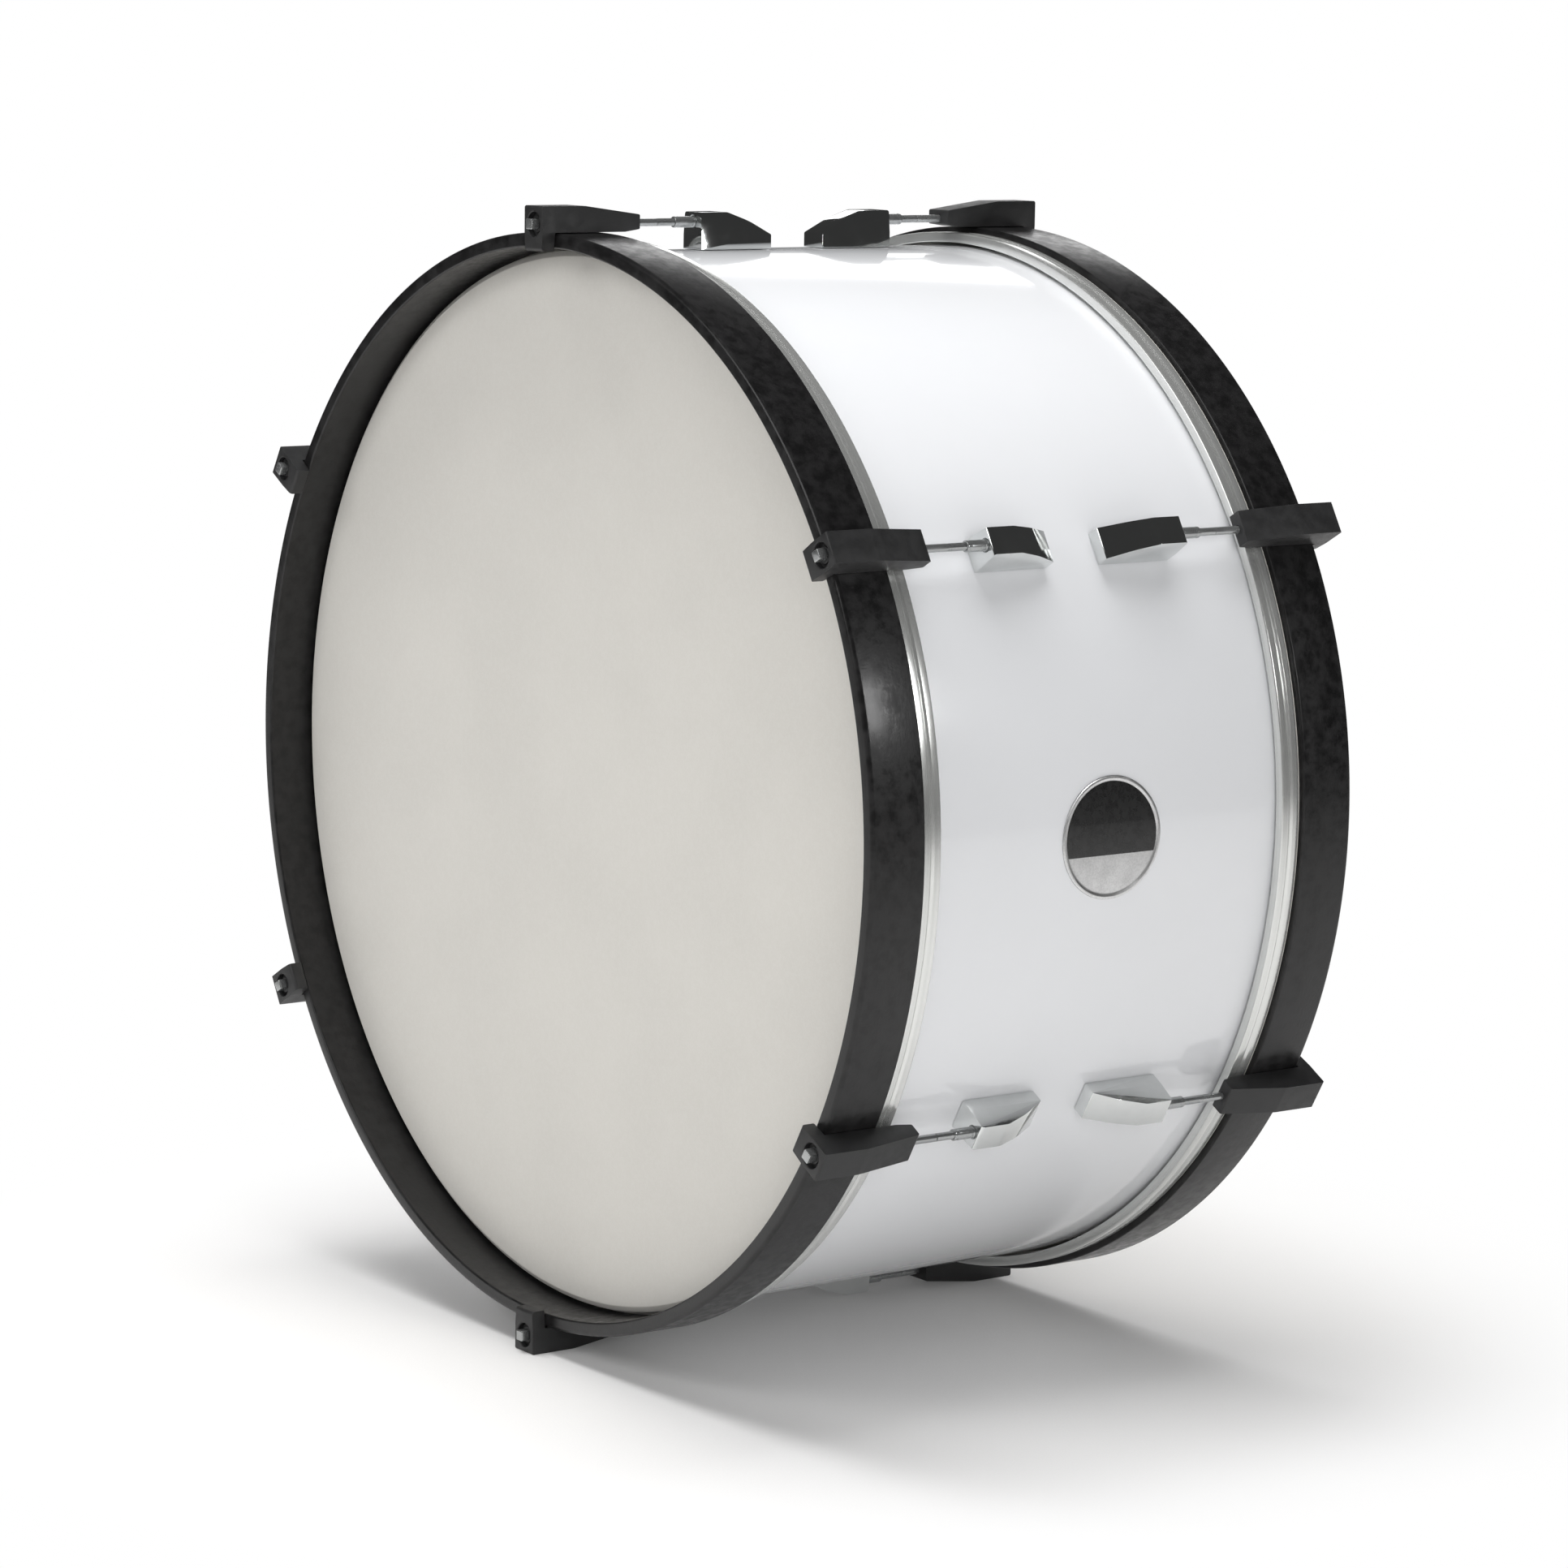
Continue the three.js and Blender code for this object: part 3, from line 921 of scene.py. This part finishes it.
def nut_groove(origin, places, depth):
    """The corners of a groove round the nut, its places counted from the origin."""
    lip, floor, floor_end, lip_end = (origin + place for place in places)
    return [
        (NUT_RADIUS, lip, GROOVE_LIP_ROUND),
        (NUT_RADIUS - depth, floor, GROOVE_FLOOR_ROUND),
        (NUT_RADIUS - depth, floor_end, GROOVE_FLOOR_ROUND),
        (NUT_RADIUS, lip_end, GROOVE_LIP_ROUND),
    ]


def nut_mesh():
    """The threaded sleeve: a bead at its outer end and a groove where it enters the lug."""
    bore = ROD_RADIUS + NUT_BORE_GAP
    corners = [
        (bore, NUT_LOW, 0),
        (NUT_RADIUS, NUT_LOW, NUT_LOW_ROUND),
        *nut_groove(LUG_END + LUG_GROOVE_MIDDLE, LUG_GROOVE_PLACES, LUG_GROOVE_DEPTH),
        *nut_groove(NUT_HIGH, BEAD_GROOVE_PLACES, BEAD_GROOVE_DEPTH),
        (NUT_RADIUS, NUT_HIGH, NUT_HIGH_ROUND),
        (bore, NUT_HIGH, NUT_BORE_ROUND),
    ]
    return smoothed(bar("nut_visual", rounded(corners, steps=3)))


# Lugs

LUG_TAIL_HEIGHT = 9
LUG_FLAT_LENGTH = 20
LUG_CROWN_HALF_WIDTH = 8.5
LUG_BEND = 1.4
LUG_BASE_ROUND = 0.3
LUG_END_ROUND = 1.6
LUG_FLAT_BEND = 10.0
LUG_SLOPE_BEND = 60.0
LUG_TAIL_ROUND = 1.2
LUG_EDGE_ROUND = 0.7
LUG_BORE_GAP = 0.1
LUG_BORE_SLACK = 1
LUG_BORE_FLARE = 0.8
LUG_ARC_STEPS = 6


def lug_mesh():
    """The casting: flat crown by the rod, falling away in a shallow curve to its tail."""
    shoulder = LUG_BASE + LUG_TAIL_HEIGHT
    flat_end = LUG_END - LUG_FLAT_LENGTH
    bend_up = (LUG_CROWN + LUG_BASE + LUG_TAIL_HEIGHT) / 2 + LUG_BEND
    side = rounded(
        [
            (LUG_END, LUG_BASE, LUG_BASE_ROUND),
            (LUG_END, LUG_CROWN, LUG_END_ROUND),
            (flat_end, LUG_CROWN, LUG_FLAT_BEND),
            ((flat_end + LUG_TAIL) / 2, bend_up, LUG_SLOPE_BEND),
            (LUG_TAIL, shoulder, LUG_TAIL_ROUND),
            (LUG_TAIL, LUG_BASE, LUG_BASE_ROUND),
        ],
        LUG_ARC_STEPS,
    )
    wide = LUG_HALF_WIDTH
    narrow = LUG_CROWN_HALF_WIDTH
    end = [
        (wide, LUG_BASE - OVERRUN),
        (wide, shoulder),
        (narrow, LUG_CROWN + OVERRUN),
        (-narrow, LUG_CROWN + OVERRUN),
        (-wide, shoulder),
        (-wide, LUG_BASE - OVERRUN),
    ]
    solid = side_prism("lug_visual", side, wide + OVERRUN)
    ends = end_prism("lug_ends", end, LUG_TAIL - OVERRUN, LUG_END + OVERRUN)
    body = eased(combined(solid, ends, "INTERSECT"), LUG_EDGE_ROUND, angle=20)
    bore_radius = NUT_RADIUS + LUG_BORE_GAP
    bore = cylinder_tool(bore_radius, NUT_LOW - LUG_BORE_SLACK, LUG_END + OVERRUN, LUG_BORE_FLARE)
    return smoothed(combined(body, bore, "DIFFERENCE"), angle=28)


# Badge

BADGE_MIDDLE = (BADGE_HIGH + BADGE_LOW) / 2
BADGE_RADIUS = (BADGE_HIGH - BADGE_LOW) / 2
BADGE_THICKNESS = BADGE_FACE - SHELL_RADIUS - SEAT_GAP
BADGE_RIM = 2.6
BADGE_SIDES = 96
FIELD_LEVEL = 0.45
FIELD_RINGS = (0.2, 0.4, 0.6, 0.8, 0.96)
BACK_RINGS = (0.8, 0.6, 0.4, 0.2, 0.0)
# The rim's two sides: distance out from the field or in from the edge, and share of the thickness
RIM_INNER_SIDE = ((0, 0.5), (0.5, 0.92), (1.1, 1))
RIM_OUTER_SIDE = ((0.5, 1), (0.12, 0.8), (0, 0.45), (0, 0))
ENAMEL_GAP = 0.7
ENAMEL_LEVELS = (0.4, 0.68)
ENAMEL_LOW_EDGE = -0.30
ENAMEL_TOP_SHARE = 0.995
ENAMEL_ROWS = 28


def badge_point(along, up, height):
    """A point of the badge, height above its back, on the round of the shell at the drum's right."""
    radius = SHELL_RADIUS + SEAT_GAP + height
    return math.sqrt(radius * radius - up * up), along, up


def badge_mesh():
    """A round plate bent to the shell, its rim standing above its field."""
    field = BADGE_RADIUS - BADGE_RIM
    level = FIELD_LEVEL * BADGE_THICKNESS
    section = [(0.0, level)]
    section += [(field * share, level) for share in FIELD_RINGS]
    section += [(field + out, share * BADGE_THICKNESS) for out, share in RIM_INNER_SIDE]
    section += [(BADGE_RADIUS - back, share * BADGE_THICKNESS) for back, share in RIM_OUTER_SIDE]
    section += [(BADGE_RADIUS * share, 0) for share in BACK_RINGS]

    def place(out, height, angle):
        return badge_point(BADGE_MIDDLE + out * math.cos(angle), out * math.sin(angle), height)

    return smoothed(lathe("badge_visual", section, BADGE_SIDES, place), angle=40)


def enamel_mesh():
    """The black field over the upper part of the badge, down to a straight edge."""
    radius = BADGE_RADIUS - BADGE_RIM - ENAMEL_GAP
    low_turn = math.asin(ENAMEL_LOW_EDGE)
    rise = math.pi / 2 * ENAMEL_TOP_SHARE - low_turn
    rows = ENAMEL_ROWS
    wide = rows + 1
    points = []
    faces = []
    for level in ENAMEL_LEVELS:
        for row in range(wide):
            up = radius * math.sin(low_turn + rise * row / rows)
            half = math.sqrt(radius * radius - up * up)
            for column in range(wide):
                along = BADGE_MIDDLE + half * math.sin(math.pi / 2 * (2 * column / rows - 1))
                points.append(badge_point(along, up, level * BADGE_THICKNESS))
    layer = wide * wide
    for row in range(rows):
        for column in range(rows):
            a = row * wide + column
            b, c, d = a + 1, a + wide + 1, a + wide
            faces.append((a, b, c, d))
            faces.append((a + layer, b + layer, c + layer, d + layer))
    border = list(range(wide))
    border += [row * wide + rows for row in range(1, wide)]
    border += [rows * wide + column for column in range(rows - 1, -1, -1)]
    border += [row * wide for row in range(rows - 1, 0, -1)]
    for a, b in zip(border, border[1:] + border[:1]):
        faces.append((a, b, b + layer, a + layer))
    return smoothed(mesh_of("enamel_visual", points, faces), angle=40)


# Screws inside the shell, their heights counted inwards from its wall

SCREW_PLACES = (12, 41)
SCREW_SIDES = 24
WASHER_RADIUS = 6.0
WASHER_BACK = 0.15
WASHER_FACE = 1.15
WASHER_ROUND = 0.2
SCREW_RADIUS = 4.3
SCREW_FOOT_ROUND = 0.1
SCREW_SHOULDER = 3.0
SCREW_DOME_ROUND = 0.9
SCREW_CROWN = 3.9
RECESS_LIP_RADIUS = 1.6
RECESS_LIP_ROUND = 0.2
RECESS_RADIUS = 1.2
RECESS_EDGE = 2.4
RECESS_FLOOR = 2.2


def screws_of_lug():
    """Two domed screws on washers, inside the shell under one lug."""
    wall = SHELL_RADIUS - SHELL_WALL
    outline = rounded(
        [
            (0, wall - WASHER_BACK, 0),
            (WASHER_RADIUS, wall - WASHER_BACK, WASHER_ROUND),
            (WASHER_RADIUS, wall - WASHER_FACE, WASHER_ROUND),
            (SCREW_RADIUS, wall - WASHER_FACE, SCREW_FOOT_ROUND),
            (SCREW_RADIUS, wall - SCREW_SHOULDER, SCREW_DOME_ROUND),
            (RECESS_LIP_RADIUS, wall - SCREW_CROWN, RECESS_LIP_ROUND),
            (RECESS_RADIUS, wall - RECESS_EDGE, 0),
            (0, wall - RECESS_FLOOR, 0),
        ],
        steps=3,
    )
    screws = []
    for from_tail in SCREW_PLACES:

        def place(radius, depth, angle, along=LUG_TAIL + from_tail):
            return radius * math.sin(angle), along + radius * math.cos(angle), depth

        screws.append(lathe("screw", outline, SCREW_SIDES, place))
    return smoothed(gathered("screws_visual", screws), angle=30)


def screws_of_end(end, mesh):
    """All the screws of one end as one mesh, in their places."""
    turned = []
    for number in range(1, STATIONS + 1):
        own = mesh.copy()
        own.transform(station_turn(end, number))
        turned.append(own)
    return smoothed(gathered(end + "_lug_screws", turned), angle=30)


# The drum


def build_drum():
    """Makes every piece and lays it over its CAD node."""
    build_groups()
    white = gloss_white()
    ply = ply_wood()
    lacquer = black_lacquer()
    alloy = turned_alloy()
    film = coated_film()
    plastic = moulded_black()
    rod_chrome = rod_plating()
    lug_chrome = lug_plating()
    raised = Matrix.Translation((0, 0, AXIS_HEIGHT * MILLIMETRE))

    piece("shell_covered", shell_mesh(), raised, [white, ply], "drum", "shell_white", ["shell"])
    piece("badge_plate", badge_mesh(), raised, [badge_silver()], "drum", "badge_plate", ["badge"])
    piece("badge_enamel", enamel_mesh(), raised, [badge_black()], "drum", "badge_plate")

    rings = {
        "hoop": (hoop_mesh(), lacquer, "hoop_black"),
        "flesh_hoop": (flesh_hoop_mesh(), alloy, "hoop_alloy"),
        "head": (head_mesh(), film, "head_film"),
    }
    stations = {
        "claw": (claw_mesh(), [plastic], "claw_black"),
        "tension_rod": (rod_mesh(), [rod_chrome, plastic], "rod_chrome"),
        "lug": (lug_mesh(), [lug_chrome], "lug_chrome"),
        "lug_nut": (nut_mesh(), [rod_chrome], "rod_chrome"),
    }
    screws = screws_of_lug()
    for end in ENDS:
        for kind, (mesh, material, slot) in rings.items():
            node = end + "_" + kind
            piece(node + "_visual", mesh, end_turn(end), [material], "drum", slot, [node])
        for kind, (mesh, materials, slot) in stations.items():
            for number in range(1, STATIONS + 1):
                node = f"{end}_{kind}_{number}"
                body = node if kind in ("claw", "tension_rod") else "drum"
                placing = station_turn(end, number)
                piece(node + "_visual", mesh, placing, materials, body, slot, [node])
        held = screws_of_end(end, screws)
        piece(end + "_lug_screws", held, Matrix.Identity(4), [rod_chrome], "drum", "rod_chrome")


# Camera, in metres and degrees, as the photograph was taken

CAMERA_AZIMUTH = 54.118
CAMERA_ELEVATION = 8.465
CAMERA_ROLL = 0.917
CAMERA_DISTANCE = 3.2417
CAMERA_LENS = 116.23
CAMERA_SENSOR = 36
CAMERA_SHIFT = (0.003028, -0.011605)
CAMERA_FAR = 100


def place_camera():
    """Aims the camera at the drum's middle and rolls it."""
    azimuth, elevation, roll = map(math.radians, (CAMERA_AZIMUTH, CAMERA_ELEVATION, CAMERA_ROLL))
    back = Vector(
        (
            math.sin(azimuth) * math.cos(elevation),
            -math.cos(azimuth) * math.cos(elevation),
            math.sin(elevation),
        )
    )
    level = Vector((math.cos(azimuth), math.sin(azimuth), 0))
    upright = back.cross(level)
    right = level * math.cos(roll) + upright * math.sin(roll)
    up = upright * math.cos(roll) - level * math.sin(roll)
    centre = Vector((0, 0, AXIS_HEIGHT * MILLIMETRE))
    turn = Matrix((right, up, back)).transposed().to_4x4()
    data = bpy.data.cameras.new("camera")
    data.lens = CAMERA_LENS
    data.sensor_width = CAMERA_SENSOR
    data.shift_x, data.shift_y = CAMERA_SHIFT
    data.clip_end = CAMERA_FAR
    camera = bpy.data.objects.new("camera", data)
    camera.matrix_world = Matrix.Translation(centre + back * CAMERA_DISTANCE) @ turn
    bpy.context.collection.objects.link(camera)
    bpy.context.scene.camera = camera


# Floor, in metres

FLOOR_RADIUS = 3.4
FLOOR_SIDES = 64
FLOOR_DARK = (0.79, 0.785, 0.78, 1)
FLOOR_PALE = (0.82, 0.815, 0.81, 1)
FLOOR_GRAIN_SCALE = 900.0
FLOOR_CLEARING = (0.36, 0.62)
FLOOR_WHITENING = 1.04
FLOOR_LIFT = 0.05
FLOOR_GLOW = 0.06
WHITE = (1, 1, 1, 1)


def floor_material():
    """Pale matt paper that turns into the white backdrop away from the drum."""
    material = bpy.data.materials.new("pale_floor")
    material.use_nodes = True
    material.node_tree.nodes.clear()
    w = Wiring(material.node_tree)
    place = w.place()
    path = w.node("ShaderNodeLightPath").outputs
    grain = w.mapped(w.noise(place, FLOOR_GRAIN_SCALE, detail=2.0), (0.3, 0.7), (0.0, 1.0))
    paper = w.mix("RGBA", grain, FLOOR_DARK, FLOOR_PALE)
    whitening = w.mapped(path["Is Camera Ray"], (0.0, 1.0), (1.0, FLOOR_WHITENING))
    matt = w.node("ShaderNodeBsdfDiffuse", Color=w.scaled(paper, whitening))
    seen_lift = w.math("MULTIPLY", path["Is Camera Ray"], FLOOR_LIFT)
    lift = w.math("MULTIPLY_ADD", path["Is Glossy Ray"], FLOOR_GLOW, seen_lift)
    glow = w.node("ShaderNodeEmission", Color=WHITE, Strength=lift)
    lit = w.node("ShaderNodeAddShader")
    w.feed(lit.inputs[0], matt.outputs[0])
    w.feed(lit.inputs[1], glow.outputs[0])
    distance = w.node("ShaderNodeVectorMath", {"operation": "LENGTH"})
    w.feed(distance.inputs[0], place)
    away = w.mapped(distance.outputs["Value"], FLOOR_CLEARING, (0.0, 1.0), smooth=True)
    backdrop = w.node("ShaderNodeEmission", Color=WHITE, Strength=1.0)
    blend = w.node("ShaderNodeMixShader", Fac=w.math("MULTIPLY", away, path["Is Camera Ray"]))
    w.feed(blend.inputs[1], lit.outputs[0])
    w.feed(blend.inputs[2], backdrop.outputs[0])
    surface = w.node("ShaderNodeOutputMaterial")
    w.feed(surface.inputs["Surface"], blend.outputs[0])
    return material


def lay_floor():
    """Lays a flat disc under the drum."""
    mesh = bpy.data.meshes.new("floor")
    points = []
    for side in range(FLOOR_SIDES):
        angle = 2 * math.pi * side / FLOOR_SIDES
        points.append((FLOOR_RADIUS * math.cos(angle), FLOOR_RADIUS * math.sin(angle), 0))
    mesh.from_pydata(points, [], [tuple(range(FLOOR_SIDES))])
    mesh.materials.append(floor_material())
    floor = bpy.data.objects.new("floor", mesh)
    bpy.context.collection.objects.link(floor)


# World light

AMBIENT = 0.16
DARK_ROOM = 0.04
BRIGHT_FLOOR = 0.9
HORIZON_BAND = (-0.35, -0.16)


def light_world():
    """White behind the drum; a dark studio above a bright floor in reflections."""
    world = bpy.data.worlds.new("studio")
    bpy.context.scene.world = world
    world.use_nodes = True
    world.node_tree.nodes.clear()
    w = Wiring(world.node_tree)
    direction = w.node("ShaderNodeTexCoord").outputs["Generated"]
    height = w.node("ShaderNodeSeparateXYZ", Vector=direction).outputs["Z"]
    mirrored = w.mapped(height, HORIZON_BAND, (BRIGHT_FLOOR, DARK_ROOM), smooth=True)
    path = w.node("ShaderNodeLightPath").outputs
    glossy = w.math("MAXIMUM", path["Is Glossy Ray"], path["Is Transmission Ray"])
    level = w.mix("FLOAT", glossy, AMBIENT, mirrored)
    strength = w.mix("FLOAT", path["Is Camera Ray"], level, 1.0)
    sky = w.node("ShaderNodeBackground", Color=WHITE, Strength=strength)
    surface = w.node("ShaderNodeOutputWorld")
    w.feed(surface.inputs["Surface"], sky.outputs[0])


# Lamps, in metres and watts


def lamp(name, where, aim, size, power, in_gloss=False, on_matt=True):
    """A soft rectangular lamp; it may show in reflections and may light matt surfaces."""
    data = bpy.data.lights.new(name, "AREA")
    data.shape = "RECTANGLE"
    data.size, data.size_y = size
    data.energy = power
    made = bpy.data.objects.new(name, data)
    bpy.context.collection.objects.link(made)
    made.location = where
    away = Vector(where) - Vector(aim)
    made.rotation_euler = away.to_track_quat("Z", "Y").to_euler()
    made.visible_glossy = in_gloss
    made.visible_diffuse = on_matt


def place_lamps():
    """Five lamps that light the drum, and two that only its reflections show."""
    low = (0, 0, 0.3)
    middle = (0, 0, 0.4)
    high = (0, 0, 0.5)
    hoop_right = (0.33, -0.21, 0.44)
    lamp("top_left_key", (-0.9, -0.35, 3.2), low, (1.4, 1.4), power=44)
    lamp("overhead_softbox", (0.3, 0.1, 3.4), low, (2.4, 2.4), power=67)
    lamp("right_fill", (2.7, -1.1, 1.0), middle, (1.6, 1.0), power=24)
    lamp("front_fill", (-0.3, -3.0, 2.1), middle, (2.4, 1.4), power=34, in_gloss=True)
    lamp("rear_fill", (-0.4, 3.2, 1.0), middle, (2.0, 1.2), power=13)
    shown_only = {"in_gloss": True, "on_matt": False}
    lamp("rear_left_softbox", (-2.6, 2.2, 2.0), high, (1.5, 1.1), power=12, **shown_only)
    lamp("rear_right_card", (0.99, 0.25, 0.695), hoop_right, (0.07, 0.15), power=1.2, **shown_only)


build_drum()
place_camera()
lay_floor()
light_world()
place_lamps()
bpy.context.scene.view_settings.view_transform = "Standard"
